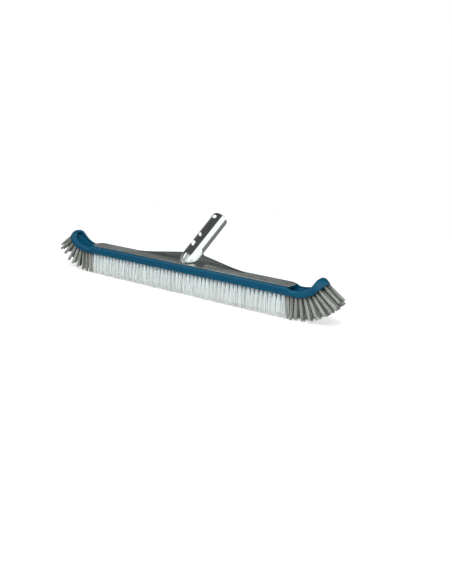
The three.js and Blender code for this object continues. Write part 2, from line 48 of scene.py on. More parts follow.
TIPS = -TRIM + 0.3  # no strand's tip lies below this, so all stay inside the CAD's box

# ---------- sizes ----------
# Most sizes are those of the CAD source. The ends of the head, the plate's length and corners,
# the socket's closed end, its fillets and the marks of the clip differ from it on purpose, to
# follow the photograph more closely inside the CAD's box.

# Moulded head: the middle, its open tray at each end, then a bend up into a pad.
HALF_WIDTH = 17.0
CREST, TRAY_RIM, FLOOR = 12.8, 9.4, 4.5  # heights: beside the plate, of the rim, in the tray
RIM_DIP, RIM_LEAD = 12.0, 11.0  # run in which the rim falls from the crest, handles of its rise
TRAY_RIM_WIDTH, TRAY_EDGE, TRAY_STOP = 4.4, 3.0, 4.5
BEND_START, BEND_RADIUS, BEND_ANGLE = 223.0, 50.0, math.radians(45)
TIP_RUN, TIP_HEIGHT = 12.0, 34.5  # straight run after the bend, height of the pad's crown
TIP_SET_BACK, TIP_BULGE, END_DEPTH = 5.5, 1.5, 12.0
TIP_ROUND = 19.0  # length of the half-ellipse that ends each upturned pad
PAD_RIM, PAD_BLEND = 3.4, 16.0  # how much wider the rim gets on the pad, and over what run
OUTER_EDGE, UNDER_EDGE, INNER_EDGE = 4.4, 1.0, 1.1  # edge radii in the middle of the head
OUTER_SOFTER, UNDER_SOFTER, INNER_SOFTER = 1.6, 1.5, 0.9  # how much they grow on the pad
SEAT_EDGE = 0.7
SCREW_BORE, SCREW_BORE_TOP, SCREW_BORE_EDGE = 4.6, 3.4, 0.4
SCREWS = [-190.0, -114.0, -38.0, 38.0, 114.0, 190.0]

# Back casting: the plate, a web at each side and the tilted socket.
PLATE_LENGTH, PLATE_WIDTH, PLATE_THICKNESS, PLATE_PROUD = 420.0, 26.0, 3.4, 1.4
PLATE_CORNER, PLATE_OVERHANG, PLATE_EDGE, PLATE_FILLET = 11.0, 6.5, 0.8, 3.5
PLATE_TOP = CREST + PLATE_PROUD
FRONT_FREE = 0.5  # no fillet hangs over the plate's front edge below this height above it
TOUCH = 0.3  # gap between the casting and the moulding
TRAY_START = PLATE_LENGTH / 2 - PLATE_OVERHANG
TILT, ROOT_Y, ROOT_Z = math.radians(32.3), 3.2, PLATE_TOP + 1.2
TUBE_LENGTH, TUBE_RADIUS, TUBE_WALL, TUBE_EDGE = 107.0, 14.0, 2.0, 0.8
NOSE, NOSE_SQUEEZE = 8.0, 0.7  # where the closed end starts; it is longer than a ball
BORE_START, BORE_EDGE = 8.0, 0.7
WEB_SPAN, WEB_FOOT = 111.0, 4.0  # half width at the foot of the webs, and its place
WEB_SHOULDER, WEB_TOP = 17.6, 23.4  # half width at their top, and its place
WEB_DROP, WEB_THICKNESS, WEB_EDGE, WEB_FILLET = 3.7, 3.0, 1.1, 7.5

# Spring clip, with places counted along the socket. Its lugs lean over and sit to one side.
CLIP_PIVOT = 13.0
LEG_HALF_WIDTH, LEG_THICKNESS, LEG_GAP = 4.0, 2.2, 0.45
LEG_OUTER = math.sqrt((TUBE_RADIUS - TUBE_WALL) ** 2 - LEG_HALF_WIDTH ** 2) - LEG_GAP
LEG_INNER = LEG_OUTER - LEG_THICKNESS
BOW_RADIUS, BOW_HALF_THICKNESS, BOW_MOUTH = 3.7, 0.9, math.radians(55)
PIN_PLACE, PIN_RADIUS, PIN_PROUD, PIN_HOLE = 97.0, 3.3, 0.9, 3.7
LUGS = (  # place, half length, half width, height over the socket, foot above the leg's inside
    (51.0, 2.6, 3.0, 0.2, 0.5),
    (29.5, 4.2, 3.2, 0.6, -2.5),
)
LUG_GAP_ALONG, LUG_GAP_ACROSS, LUG_HOLE_CORNER = 0.6, 0.5, 1.5
MARK_SLANT, MARK_SHIFT = 0.7, 1.0
HOLE_EDGE = 0.5

# Tufts: five rows of white ones under the middle, ten columns of grey ones at each end.
ROW_PITCH, WHITE_PITCH, GREY_PITCH = 6.2, 8.0, 7.2
WHITE_STEPS, GREY_COLUMNS, GREY_SPLAY = 25, 10, 1.2
TUFT_ROOT, TUFT_GAP = 4.2, 0.6  # width of a tuft at the head, least space beside it
BUNDLE_RADIUS = 1.85  # of the strands inside that width
WHITE_COUNT, GREY_COUNT = 40, 28  # strands in a tuft
WHITE_SUNK, GREY_SUNK = 1.2, 1.0  # how far the strands start inside the head
SCREW_CLEARANCE = 6.7  # the middle row leaves out the tufts nearer a screw than this
STRAND_TAPER = np.array([1, 1, 1, 0.98, 0.86])  # radius at each ring of a strand
STRAND_SIDES = 4
GOLDEN_ANGLE = 2.39996

AXIS = np.array([0.0, math.cos(TILT), math.sin(TILT)])
UPPER = np.array([0.0, -math.sin(TILT), math.cos(TILT)])
ROOT = np.array([0.0, ROOT_Y, ROOT_Z])
ALONG_TIP = np.array([math.cos(BEND_ANGLE), math.sin(BEND_ANGLE)])
OUT_OF_TIP = np.array([ALONG_TIP[1], -ALONG_TIP[0]])
BEND_END = np.array([
    BEND_START + BEND_RADIUS * math.sin(BEND_ANGLE), BEND_RADIUS * (1 - math.cos(BEND_ANGLE)),
])


# ---------- distance fields and the surface drawn from them ----------
# Planar outlines are sampled between these corners at most (along the head, and up).
SHEET_LOW, SHEET_HIGH = (-30, -12), (330, 90)
PULLS = 3  # times that each point of a surface is moved onto the zero level
LONGEST_PULL = 0.4  # of a step of the grid


def round_max(a, b, r):
    """Intersection of two distance fields, its edge rounded to radius r."""
    return np.minimum(np.maximum(a, b), -r) + np.hypot(np.maximum(a + r, 0), np.maximum(b + r, 0))


def round_min(a, b, r):
    """Union of two distance fields, its corner filled with radius r."""
    return -round_max(-a, -b, r)


def planar(polygon, step=0.25, margin=4.0):
    """Signed distance to a closed polygon, as a quick function of two arrays."""
    points = np.asarray(polygon, float)
    low, high = points.min(0) - margin, points.max(0) + margin
    low, high = np.maximum(low, SHEET_LOW), np.minimum(high, SHEET_HIGH)
    counts = np.ceil((high - low) / step).astype(int) + 1
    u = low[0] + step * np.arange(counts[0])[:, None]
    v = low[1] + step * np.arange(counts[1])[None, :]
    best = np.full(counts, 1e9)
    inside = np.zeros(counts, bool)
    for a, b in zip(points, np.roll(points, -1, 0)):
        along = b - a
        size = along @ along
        if size < 1e-12:  # two points in the same place
            continue
        t = np.clip(((u - a[0]) * along[0] + (v - a[1]) * along[1]) / size, 0, 1)
        square = (u - a[0] - t * along[0]) ** 2 + (v - a[1] - t * along[1]) ** 2
        best = np.minimum(best, square)
        if a[1] != b[1]:
            crossing = (v >= min(a[1], b[1])) & (v < max(a[1], b[1]))
            inside ^= crossing & (u < a[0] + (v - a[1]) * along[0] / along[1])
    table = (np.sqrt(best) * np.where(inside, -1, 1)).astype(np.float32)

    def distance(x, y):
        x, y = np.broadcast_arrays(x, y)
        gx = np.clip((x - low[0]) / step, 0, counts[0] - 1.001)
        gy = np.clip((y - low[1]) / step, 0, counts[1] - 1.001)
        ix, iy = gx.astype(np.int32), gy.astype(np.int32)
        fx, fy = gx - ix, gy - iy
        lower = table[ix, iy] * (1 - fx) + table[ix + 1, iy] * fx
        upper = table[ix, iy + 1] * (1 - fx) + table[ix + 1, iy + 1] * fx
        return lower * (1 - fy) + upper * fy

    return distance


def rounded_box(x, y, half_x, half_y, corner):
    """Distance to a rounded rectangle centred on the origin."""
    qx, qy = np.abs(x) - half_x + corner, np.abs(y) - half_y + corner
    outside = np.hypot(np.maximum(qx, 0), np.maximum(qy, 0))
    return outside + np.minimum(np.maximum(qx, qy), 0) - corner


def slopes(distance, points, reach=0.06):
    """Unit gradient of a distance field at points."""
    columns = []
    for axis in range(3):
        shift = np.zeros(3)
        shift[axis] = reach
        ahead, behind = points + shift, points - shift
        columns.append(distance(*ahead.T) - distance(*behind.T))
    gradient = np.stack(columns, 1)
    return gradient / np.maximum(np.linalg.norm(gradient, axis=1, keepdims=True), 1e-9)


def surface(distance, low, high, step):
    """Quads over the zero level of a distance field, with every point moved onto it."""
    axes = [np.arange(a, b + step, step) for a, b in zip(low, high)]
    grid = np.meshgrid(*axes, indexing="ij", sparse=True)
    field = np.asarray(distance(*grid), np.float32)
    inside = field < 0
    shape = np.array(field.shape) - 1
    corners = [(i, j, k) for i in (0, 1) for j in (0, 1) for k in (0, 1)]

    def shifted(values, corner):
        return values[tuple(slice(c, c + n) for c, n in zip(corner, shape))]

    filled = sum(shifted(inside, c).astype(np.int8) for c in corners)
    cells = np.argwhere((filled > 0) & (filled < 8))
    total, crossings = np.zeros((len(cells), 3)), np.zeros(len(cells))
    for a in corners:
        for axis in range(3):
            if a[axis]:
                continue
            b = tuple(1 if i == axis else c for i, c in enumerate(a))
            va = field[tuple((cells + a).T)]
            vb = field[tuple((cells + b).T)]
            cut = (va < 0) != (vb < 0)
            t = np.where(cut, va / np.where(cut, va - vb, 1), 0)
            place = cells + a + t[:, None] * (np.array(b) - a)
            total += place * cut[:, None]
            crossings += cut
    points = np.array(low) + step * total / crossings[:, None]
    limit = LONGEST_PULL * step
    for _ in range(PULLS):
        off = np.clip(distance(*points.T), -limit, limit)
        points = points - slopes(distance, points) * off[:, None]
    index = np.full(shape, -1, np.int64)
    index[tuple(cells.T)] = np.arange(len(cells))
    quads = []
    for axis in range(3):
        p, q = (axis + 1) % 3, (axis + 2) % 3
        ahead = [slice(None)] * 3
        behind = [slice(None)] * 3
        ahead[axis], behind[axis] = slice(1, None), slice(None, -1)
        change = inside[tuple(behind)] != inside[tuple(ahead)]
        edges = np.argwhere(change)
        edges = edges[(edges[:, p] > 0) & (edges[:, q] > 0)
                      & (edges[:, p] < shape[p]) & (edges[:, q] < shape[q])]
        ring = []
        for dp, dq in ((-1, -1), (0, -1), (0, 0), (-1, 0)):
            cell = edges.copy()
            cell[:, p] += dp
            cell[:, q] += dq
            ring.append(index[tuple(cell.T)])
        ring = np.stack(ring, 1)
        outward = inside[tuple(edges.T)]
        ring[~outward] = ring[~outward][:, ::-1]
        quads.append(ring)
    return points, np.concatenate(quads)


def to_frame(points):
    """Millimetres above the head's underside to metres in the frame."""
    return (np.asarray(points) + [0, 0, TRIM]) / 1000


def piece(name, points, faces, normals=None, attributes=None):
    """A mesh object from arrays of points (already in metres) and of faces of one size."""
    mesh = bpy.data.meshes.new(name)
    sides = faces.shape[1]
    mesh.vertices.add(len(points))
    mesh.vertices.foreach_set("co", np.asarray(points, np.float32).ravel())
    mesh.loops.add(faces.size)
    mesh.loops.foreach_set("vertex_index", faces.ravel().astype(np.int32))
    mesh.polygons.add(len(faces))
    mesh.polygons.foreach_set("loop_start", np.arange(0, faces.size, sides, dtype=np.int32))
    mesh.polygons.foreach_set("use_smooth", np.ones(len(faces), bool))
    mesh.update(calc_edges=True)
    mesh.validate()
    for key, values in (attributes or {}).items():
        mesh.attributes.new(key, "FLOAT", "POINT").data.foreach_set(
            "value", np.asarray(values, np.float32))
    if normals is not None:
        mesh.normals_split_custom_set_from_vertices(normals.tolist())
    made = bpy.data.objects.new(name, mesh)
    bpy.context.scene.collection.objects.link(made)
    return made


def shaped(name, distance, low, high, step, place=to_frame, attribute=None):
    """A piece whose surface is the zero level of a distance field."""
    points, quads = surface(distance, low, high, step)
    normals = slopes(distance, points)
    moved = place(points)
    turned = place(points + normals) - moved
    turned /= np.linalg.norm(turned, axis=1, keepdims=True)
    extra = {attribute[0]: attribute[1](points)} if attribute else None
    return piece(name, moved, quads, turned, extra)


def shows(made, body, slot, *nodes):
    """Puts a piece on its body in place of its CAD nodes."""
    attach(made, body)
    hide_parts(*nodes)
    return made


# ---------- materials ----------
def plug(tree, value, socket):
    """Links a node's output to a socket, or gives the socket a plain value."""
    if isinstance(value, bpy.types.NodeSocket):
        tree.links.new(value, socket)
    else:
        socket.default_value = value


class Paint:
    """A Principled material with short calls for the nodes that feed it."""

    def __init__(self, name, **values):
        self.material = bpy.data.materials.new(name)
        self.material.use_nodes = True
        self.tree = self.material.node_tree
        self.shader = self.tree.nodes["Principled BSDF"]
        self.set(self.shader, values)
        self.where = self.tree.nodes.new("ShaderNodeTexCoord").outputs["Object"]

    def set(self, node, values):
        for key, value in values.items():
            plug(self.tree, value, node.inputs[key])

    def node(self, kind, values=None, out=0, **settings):
        made = self.tree.nodes.new("ShaderNode" + kind)
        for key, value in settings.items():
            setattr(made, key, value)
        self.set(made, values or {})
        return made.outputs[out]

    def noise(self, scale, detail, roughness=0.5, stretch=(1, 1, 1)):
        where = self.node("Mapping", {"Vector": self.where, "Scale": stretch})
        return self.node("TexNoise", {
            "Vector": where, "Scale": scale, "Detail": detail, "Roughness": roughness})

    def span(self, value, low, high, to_low, to_high):
        return self.node("MapRange", {
            "Value": value, "From Min": low, "From Max": high, "To Min": to_low, "To Max": to_high})

    def attribute(self, name):
        """A number stored on the mesh, read from the node's third output."""
        return self.node("Attribute", out=2, attribute_name=name)

    def mix(self, factor, a, b, blend="MIX"):
        """Two colours mixed; they are inputs 6 and 7 of the node, and output 2 is their mix."""
        made = self.tree.nodes.new("ShaderNodeMix")
        made.data_type = "RGBA"
        made.blend_type = blend
        for index, value in ((0, factor), (6, a), (7, b)):
            plug(self.tree, value, made.inputs[index])
        return made.outputs[2]

    def math(self, operation, a, b):
        made = self.tree.nodes.new("ShaderNodeMath")
        made.operation = operation
        for socket, value in zip(made.inputs, (a, b)):
            plug(self.tree, value, socket)
        return made.outputs[0]

    def bump(self, height, strength, distance, normal=None):
        values = {"Height": height, "Strength": strength, "Distance": distance}
        if normal is not None:
            values["Normal"] = normal
        return self.node("Bump", values)

    def feed(self, **values):
        self.set(self.shader, {key.replace("_", " "): value for key, value in values.items()})

    def blend_with(self, other, share):
        """Puts a share of another shader in the place of the Principled one."""
        mixed = self.node("MixShader", {"Fac": share})
        self.tree.links.new(self.shader.outputs[0], mixed.node.inputs[1])
        self.tree.links.new(other, mixed.node.inputs[2])
        self.tree.links.new(mixed, self.tree.nodes["Material Output"].inputs["Surface"])

    def on(self, *objects):
        for o in objects:
            o.data.materials.clear()
            o.data.materials.append(self.material)


def blue_plastic():
    p = Paint("blue_plastic", **{"Specular IOR Level": 0.4})
    broad = p.noise(14, 3)
    fine = p.noise(900, 4, 0.6)
    flow = p.noise(60, 4, 0.6, stretch=(0.25, 1, 1))
    scuff = p.span(p.noise(220, 6, 0.7, stretch=(0.3, 1, 1)), 0.62, 0.72, 0, 1)
    deep, light, worn = (0.0002, 0.048, 0.098, 1), (0.0004, 0.057, 0.111, 1), (0.05, 0.2, 0.3, 1)
    base = p.mix(p.span(broad, 0.3, 0.7, 0, 1), deep, light)
    base = p.mix(p.math("MULTIPLY", scuff, 0.08), base, worn)
    rough = p.math("ADD", p.span(flow, 0.3, 0.7, 0.24, 0.33), p.math("MULTIPLY", scuff, 0.12))
    p.feed(Base_Color=base, Roughness=rough, Normal=p.bump(fine, 0.12, 0.0002))
    return p


def aluminium():
    """Cast and uneven where "polish" is 0, drawn and bright where it is 1."""
    p = Paint("aluminium", Metallic=1.0)
    polish = p.attribute("polish")
    grain = p.noise(700, 3, 0.6, stretch=(0.06, 1, 1))
    cast = p.noise(1500, 4, 0.65)
    stain = p.noise(60, 5, 0.6, stretch=(0.3, 1, 1))
    draw = p.noise(520, 3, 0.6, stretch=(1, 0.05, 0.05))
    base = p.mix(p.span(stain, 0.35, 0.65, 0, 1), (0.86, 0.88, 0.87, 1), (0.58, 0.60, 0.59, 1))
    base = p.mix(polish, base, (0.93, 0.93, 0.92, 1))
    dull = p.span(stain, 0.4, 0.7, 0, 0.08)
    rough_cast = p.math("ADD", p.span(grain, 0.3, 0.7, 0.20, 0.32), dull)
    rough_tube = p.span(draw, 0.3, 0.7, 0.06, 0.13)
    rough = p.node("Mix", {"Factor": polish, "A": rough_cast, "B": rough_tube}, data_type="FLOAT")
    soft = p.bump(grain, p.span(polish, 0, 1, 0.08, 0.0), 0.00015)
    p.feed(Base_Color=base, Roughness=rough,
           Normal=p.bump(cast, p.span(polish, 0, 1, 0.07, 0.0), 0.00012, soft))
    return p


def clip_nylon():
    p = Paint("clip_nylon", **{"Specular IOR Level": 0.4})
    cloud = p.noise(90, 4)
    fine = p.noise(1200, 3)
    base = p.mix(p.span(cloud, 0.3, 0.7, 0, 1), (0.80, 0.82, 0.83, 1), (0.88, 0.89, 0.89, 1))
    p.feed(Base_Color=base, Roughness=p.span(cloud, 0.3, 0.7, 0.36, 0.5),
           Normal=p.bump(fine, 0.1, 0.0001))
    return p


def stainless():
    p = Paint("stainless", Metallic=1.0)
    turn = p.noise(1400, 3, 0.6)
    tint = p.noise(160, 3)
    base = p.mix(p.span(tint, 0.3, 0.7, 0, 1), (0.52, 0.53, 0.54, 1), (0.64, 0.64, 0.63, 1))
    p.feed(Base_Color=base, Roughness=p.span(turn, 0.3, 0.7, 0.24, 0.36),
           Normal=p.bump(turn, 0.1, 0.00008))
    return p


def filament(name, root, middle, tip, spread, roughness, metallic, glow):
    """Fine filament toned by strand, painted shade at the root; glow is the share that lets light
    through.
    """
    p = Paint(name, Metallic=metallic, **{"Specular IOR Level": 0.5})
    strand, along = p.attribute("strand"), p.attribute("along")
    # Root-to-tip ramp: the darker root end is painted shade under the head.
    rise = p.node("ValToRGB", {"Fac": along})
    ramp = rise.node.color_ramp
    ramp.elements[0].position, ramp.elements[0].color = 0.0, (*root, 1)
    ramp.elements[1].position, ramp.elements[1].color = 1.0, (*tip, 1)
    ramp.elements.new(0.28).color = (*middle, 1)
    shade = p.span(strand, 0, 1, 1 - spread, 1 + 0.3 * spread)
    tone = p.node("CombineColor", {"Red": shade, "Green": shade, "Blue": shade})
    fine = p.noise(2600, 2, 0.5, stretch=(1, 1, 0.15))
    colour = p.mix(1.0, rise, tone, "MULTIPLY")
    gloss = p.span(fine, 0.3, 0.7, roughness - 0.06, roughness + 0.08)
    p.feed(Base_Color=colour, Roughness=gloss, Normal=p.bump(fine, 0.15, 0.00005))
    if glow:
        p.blend_with(p.node("BsdfTranslucent", {"Color": colour}), glow)
    return p


# ---------- moulded head ----------
def tip_corner(run, offset):
    """A place on the pad's side view: run past the bend's end, offset out of the underside."""
    return BEND_END + run * ALONG_TIP + offset * OUT_OF_TIP


def bezier(p0, p1, p2, p3, count=24):
    """Points on a cubic curve."""
    t = np.linspace(0, 1, count)[:, None]
    return ((1 - t) ** 3 * np.array(p0) + 3 * t * (1 - t) ** 2 * np.array(p1)
            + 3 * t ** 2 * (1 - t) * np.array(p2) + t ** 3 * np.array(p3))


def arc(centre, radius, start, end, count=40):
    """Points on an arc, between two angles."""
    a = np.linspace(start, end, count)
    return np.stack([centre[0] + radius * np.cos(a), centre[1] + radius * np.sin(a)], 1)


TIP_BOTTOM = tip_corner(TIP_RUN, 0)
TIP_CROWN = np.array([TIP_BOTTOM[0] - TIP_SET_BACK, TIP_HEIGHT])
HEAD_HALF = TIP_BOTTOM[0] + TIP_BULGE
PAD_CENTRE = TIP_RUN + 2 * TIP_BULGE - TIP_ROUND


def rim_line():
    """The rim's top from the upturned end back to the tray's start."""
    dip = np.array([TRAY_START + RIM_DIP, TRAY_RIM])
    rise = tip_corner(0, -END_DEPTH)
    before = rise - ALONG_TIP * RIM_LEAD / 2
    after = rise + ALONG_TIP * RIM_LEAD / 2
    lower = before - ALONG_TIP * RIM_LEAD
    parts = [
        bezier(TIP_CROWN, TIP_CROWN - [RIM_LEAD, TIP_BULGE], after, before),
        bezier(before, lower, dip + [RIM_LEAD, 0], dip),
        bezier(dip, dip - [RIM_DIP / 2, 0], (TRAY_START + RIM_DIP / 2, CREST), (TRAY_START, CREST)),
    ]
    return np.concatenate(parts)


def head_distance():
    """The moulding: its side view, cut to its plan, less the trays, the seat and the bores."""
    # Corners well outside the head close each of its outlines.
    inner, low, high, margin = -60, -40, 120, 40
    turn = -math.pi / 2
    centre = (BEND_START, BEND_RADIUS)
    corner = tip_corner(TIP_RUN + 4 * TIP_BULGE, 0)
    nose = bezier(TIP_BOTTOM, corner, TIP_CROWN + [TIP_SET_BACK, TIP_BULGE], TIP_CROWN)
    over = planar(np.concatenate([
        [(inner, 0)], arc(centre, BEND_RADIUS, turn, turn + BEND_ANGLE), nose,
        [(TIP_CROWN[0], high), (inner, high)],
    ]))
    under_rim = planar(np.concatenate([
        [(inner, low), (HEAD_HALF + margin, low), (HEAD_HALF + margin, TIP_HEIGHT)], rim_line(),
        [(inner, CREST)],
    ]))
    end = tip_corner(TIP_RUN - TRAY_STOP, -FLOOR)
    channel = planar(np.concatenate([
        [(TRAY_START, FLOOR)], arc(centre, BEND_RADIUS - FLOOR, turn, turn + BEND_ANGLE),
        [end, end + [-margin, margin], (TRAY_START, end[1] + margin)],
    ]))

    def outline(run, y, inset):
        """Distance to a strip that ends in a half-ellipse, true to first order."""
        a, b = TIP_ROUND - inset, HALF_WIDTH - inset
        along = np.maximum(run - PAD_CENTRE, 0)
        k0 = np.hypot(along / a, y / b)
        k1 = np.hypot(along / a ** 2, y / b ** 2)
        return k0 * (k0 - 1) / np.maximum(k1, 1e-6)

    def distance(x, y, z):
        x, y = np.abs(x), np.abs(y)
        run = (x - BEND_END[0]) * ALONG_TIP[0] + (z - BEND_END[1]) * ALONG_TIP[1]
        pad = np.clip((run + PAD_BLEND) / PAD_BLEND, 0, 1)
        body = round_max(under_rim(x, z), outline(run, y, 0), OUTER_EDGE + OUTER_SOFTER * pad)
        body = round_max(body, over(x, z), UNDER_EDGE + UNDER_SOFTER * pad)
        tray = round_max(channel(x, z), outline(run, y, TRAY_RIM_WIDTH + PAD_RIM * pad), TRAY_EDGE)
        body = round_max(body, -tray, INNER_EDGE + INNER_SOFTER * pad)
        seat = rounded_box(x, y, PLATE_LENGTH / 2 + TOUCH, PLATE_WIDTH / 2 + TOUCH,
                           PLATE_CORNER + TOUCH)
        seat = np.maximum(seat, PLATE_TOP - PLATE_THICKNESS - TOUCH - z)
        body = round_max(body, -seat, SEAT_EDGE)
        for place in SCREWS[3:]:  # the other three are their mirror images
            bore = np.maximum(np.hypot(x - place, y) - SCREW_BORE, z - SCREW_BORE_TOP)
            body = round_max(body, -bore, SCREW_BORE_EDGE)
        return body

    return distance


# ---------- casting ----------
def in_socket(x, y, z):
    """Across, outward and along the socket."""
    dy, dz = y - ROOT_Y, z - ROOT_Z
    return x, dy * UPPER[1] + dz * UPPER[2], dy * AXIS[1] + dz * AXIS[2]


def casting_distance(x, y, z):
    """Plate, webs and socket in one piece, less the bore and the clip's openings."""
    side, out, along = in_socket(x, y, z)
    radius = np.hypot(side, out)
    nose = np.hypot(radius, NOSE_SQUEEZE * np.minimum(along - NOSE, 0))
    tube = round_max(nose - TUBE_RADIUS, along - TUBE_LENGTH, TUBE_EDGE)
    slant = np.array([WEB_TOP - WEB_FOOT, WEB_SPAN - WEB_SHOULDER])
    slant /= np.linalg.norm(slant)
    edge = (np.abs(side) - WEB_SPAN) * slant[0] + (along - WEB_FOOT) * slant[1]
    sheet = np.maximum(np.abs(side) - WEB_SPAN, edge)
    depth = np.abs(out + WEB_DROP + WEB_THICKNESS / 2) - WEB_THICKNESS / 2
    web = round_max(sheet, depth, WEB_EDGE)
    raised = round_min(tube, web, WEB_FILLET)
    raised = np.maximum(raised, CREST + TOUCH - z)
    plate = rounded_box(x, y, PLATE_LENGTH / 2, PLATE_WIDTH / 2, PLATE_CORNER)
    height = np.abs(z - PLATE_TOP + PLATE_THICKNESS / 2) - PLATE_THICKNESS / 2
    body = round_min(raised, round_max(plate, height, PLATE_EDGE), PLATE_FILLET)
    body = np.maximum(body, np.minimum(-y - PLATE_WIDTH / 2, PLATE_TOP + FRONT_FREE - z))
    bore = np.maximum(np.maximum(radius - TUBE_RADIUS + TUBE_WALL, BORE_START - along),
                      CREST + TOUCH + TUBE_WALL - z)
    body = round_max(body, -bore, BORE_EDGE)
    hole = np.hypot(side, along - PIN_PLACE) - PIN_HOLE
    across = side * np.sign(out)
    slanted = along + MARK_SLANT * across
    for place, half_length, half_width, _, _ in LUGS:
        opening = rounded_box(across + MARK_SHIFT, slanted - place, half_width + LUG_GAP_ACROSS,
                              half_length + LUG_GAP_ALONG, LUG_HOLE_CORNER)
        hole = np.minimum(hole, opening)
    return round_max(body, -hole, HOLE_EDGE)


def polish_of(points):
    """1 on the drawn tube, 0 on the plate and the webs."""
    fade, start, rise = 1.6, 1.5, 3  # width of the fade off the tube; its start over the plate
    side, out, _ = in_socket(*points.T)
    radius = np.hypot(side, out)
    near = np.clip((TUBE_RADIUS + fade - radius) / fade, 0, 1)
    clear = np.clip((points[:, 2] - PLATE_TOP - start) / rise, 0, 1)
    return near * clear


# ---------- spring clip ----------
def clip_place(flip):
    """From the clip's own axes (along, outward, across) into the frame; flip is -1 for the
    lower leg."""
    def place(points):
        along, out, across = np.asarray(points).T
        out, across = out * flip, across * flip
        moved = (ROOT + np.outer(along + CLIP_PIVOT, AXIS) + np.outer(out, UPPER)
                 + np.outer(across, [1.0, 0, 0]))
        return to_frame(moved)
    return place


def leg_distance():
    """One leg, lying along its first axis from the clip's pivot."""
    edge, fillet, lug_corner, lug_edge, pin_edge, pin_foot = 0.5, 0.4, 1.2, 0.7, 0.9, 0.5
    start, shoulder, end = 5.1, 25.0, 89.5
    # Outline: a flat tail at the bow, a slope out to the shoulder, then straight along the bore.
    strip = planar([
        (start, 0.6), (start + 5, 0.6), (shoulder, LEG_INNER), (end, LEG_INNER),
        (end, LEG_OUTER - 0.75), (end - 1.5, LEG_OUTER), (shoulder - 1.5, LEG_OUTER),
        (start + 2.5, 3.55), (start, 2.8),
    ], 0.1)

    def distance(along, out, across):
        body = round_max(strip(along, out), np.abs(across) - LEG_HALF_WIDTH, edge)
        slanted = along + MARK_SLANT * across
        for place, half_length, half_width, proud, foot in LUGS:
            low, high = LEG_INNER + foot, TUBE_RADIUS + proud
            lug = rounded_box(slanted - (place - CLIP_PIVOT), out - (low + high) / 2, half_length,
                              (high - low) / 2, lug_corner)
            lug = round_max(lug, np.abs(across + MARK_SHIFT) - half_width, lug_edge)
            body = round_min(body, lug, fillet)
        pin = np.hypot(along - (PIN_PLACE - CLIP_PIVOT), across) - PIN_RADIUS
        ends = np.maximum(out - TUBE_RADIUS - PIN_PROUD, LEG_INNER + pin_foot - out)
        return round_min(body, round_max(pin, ends, pin_edge), fillet)

    return distance


def bow_distance(along, out, across):
    """A ring round the pivot, open towards the legs."""
    edge = 0.4
    ring = np.abs(np.hypot(along, out) - BOW_RADIUS) - BOW_HALF_THICKNESS
    angle = np.abs(np.arctan2(out, along))
    mouth = (BOW_MOUTH - angle) * BOW_RADIUS
    return round_max(round_max(ring, mouth, edge), np.abs(across) - LEG_HALF_WIDTH, edge)


def screw_distance(x, y, z):
    """A cross-slotted screw, head down in its bore; the moulding's underside is z = 0."""
    head_radius, head_middle, head_half, head_edge = 4.2, 1.85, 1.25, 0.9
    shank_radius, shank_middle, shank_half = 2.1, 7.5, 5.0
    slot_half, slot_reach, slot_top, slot_edge = 0.55, 2.3, 1.9, 0.25
    thread_depth, thread_rate = 0.12, 5.2  # the second in radians per millimetre
    radius = np.hypot(x, y)
    head = round_max(radius - head_radius, np.abs(z - head_middle) - head_half, head_edge)
    shank = np.maximum(radius - shank_radius, np.abs(z - shank_middle) - shank_half)
    slot = np.minimum(np.maximum(np.abs(x) - slot_half, np.abs(y) - slot_reach),
                      np.maximum(np.abs(y) - slot_half, np.abs(x) - slot_reach))
    slot = np.maximum(slot, z - slot_top)
    thread = shank + thread_depth * np.sin(z * thread_rate + np.arctan2(y, x))
    return np.minimum(round_max(head, -slot, slot_edge), thread)


# ---------- tufts ----------
def strands(rng, roots, tips, widths, bows, shades):
    """Thin tapering prisms from root to tip, bowed sideways; all as one mesh."""
    count, rings, sides = len(roots), len(STRAND_TAPER), STRAND_SIDES
    t = np.linspace(0, 1, rings)
    run = tips - roots
    line = roots[:, None] + run[:, None] * t[None, :, None]
    line += bows[:, None] * (t * (1 - t))[None, :, None] * 4  # the whole bow at half length
    direction = run / np.linalg.norm(run, axis=1, keepdims=True)
    first = np.cross(direction, [0.0, 1.0, 0.13])  # a direction that no strand takes
    first /= np.linalg.norm(first, axis=1, keepdims=True)
    second = np.cross(direction, first)
    spin = rng.uniform(0, 2 * math.pi, count)
    angle = spin[:, None] + np.arange(sides) * 2 * math.pi / sides
    around = first[:, None] * np.cos(angle)[..., None] + second[:, None] * np.sin(angle)[..., None]
    radius = widths[:, None] * STRAND_TAPER[None]
    points = line[:, :, None] + around[:, None] * radius[..., None, None]
    base = (np.arange(count) * rings * sides)[:, None, None]
    ring = (np.arange(rings - 1) * sides)[None, :, None]
    k = np.arange(sides)[None, None]
    quad = np.stack([base + ring + k, base + ring + (k + 1) % sides,
                     base + ring + sides + (k + 1) % sides, base + ring + sides + k], -1)
    last = (rings - 1) * sides
    caps = np.stack([np.stack([base[:, 0, 0] + i for i in (3, 2, 1, 0)], -1),
                     np.stack([base[:, 0, 0] + last + i for i in range(4)], -1)], 1)
    faces = np.concatenate([quad.reshape(-1, 4), caps.reshape(-1, 4)])
    # "strand" is half the strand's own shade and half its tuft's.
    strand = np.repeat(0.5 * rng.random(count) + 0.5 * shades, rings * sides)
    along = np.tile(np.repeat(t, sides), count)
    return points.reshape(-1, 3), faces, {"strand": strand, "along": along}


def disc(rng, count):
    """Evenly spread random places in the unit disc."""
    radius = np.sqrt((np.arange(count) + rng.random(count)) / count)
    angle = np.arange(count) * GOLDEN_ANGLE + rng.uniform(0, 0.5, count)
    return np.stack([radius * np.cos(angle), radius * np.sin(angle)], 1)


